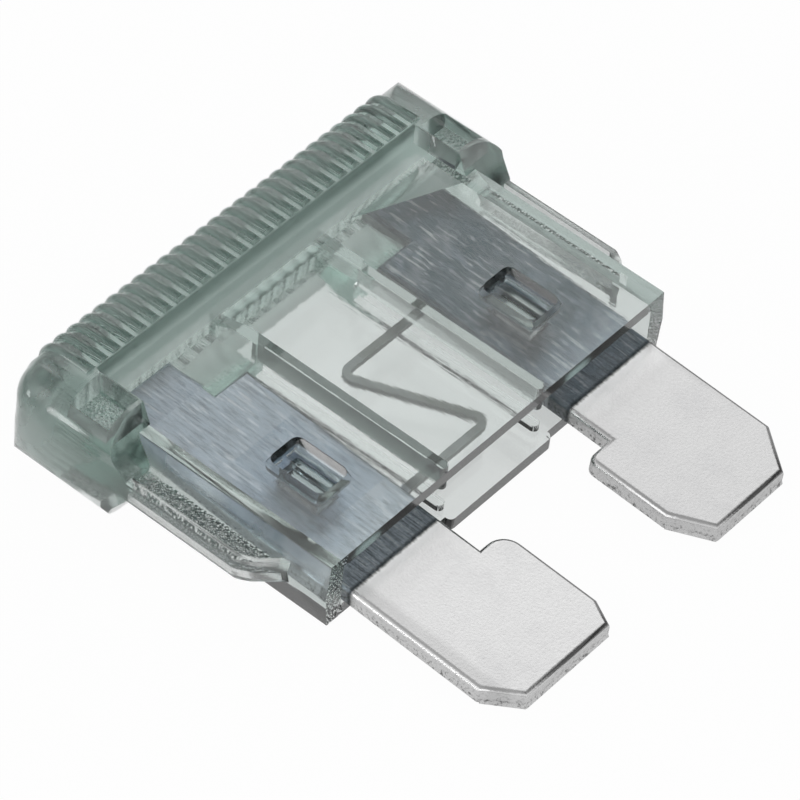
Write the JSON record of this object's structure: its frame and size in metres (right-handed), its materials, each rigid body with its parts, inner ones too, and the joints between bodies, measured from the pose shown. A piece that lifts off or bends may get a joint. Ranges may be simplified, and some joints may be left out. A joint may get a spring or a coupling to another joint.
{
  "type": "automotive blade fuse",
  "caption": "See-through moulded body with a ribbed grip head and side rails, holding a stamped metal strip whose flat blades are joined by a thin zigzag link.",
  "frame": {"origin": "middle of the end of the grip head, on the mid-plane of the body", "axes": "+X across the two blades, +Y out of the grip head, so the blades point along -Y, +Z out of the face that the stakes were pressed into"},
  "size_m": [0.019, 0.0189, 0.0046],
  "materials": {
    "clear_plastic": "clear grey-green tinted moulding, polished faces with spark-roughened end faces, pockets and trough floors",
    "strip_metal": "satin plated zinc alloy with fine rolling lines and sheared edges"
  },
  "bodies": {
    "root": {"housing": "clear_plastic", "fuse_element": "strip_metal"}
  },
  "joints": []
}
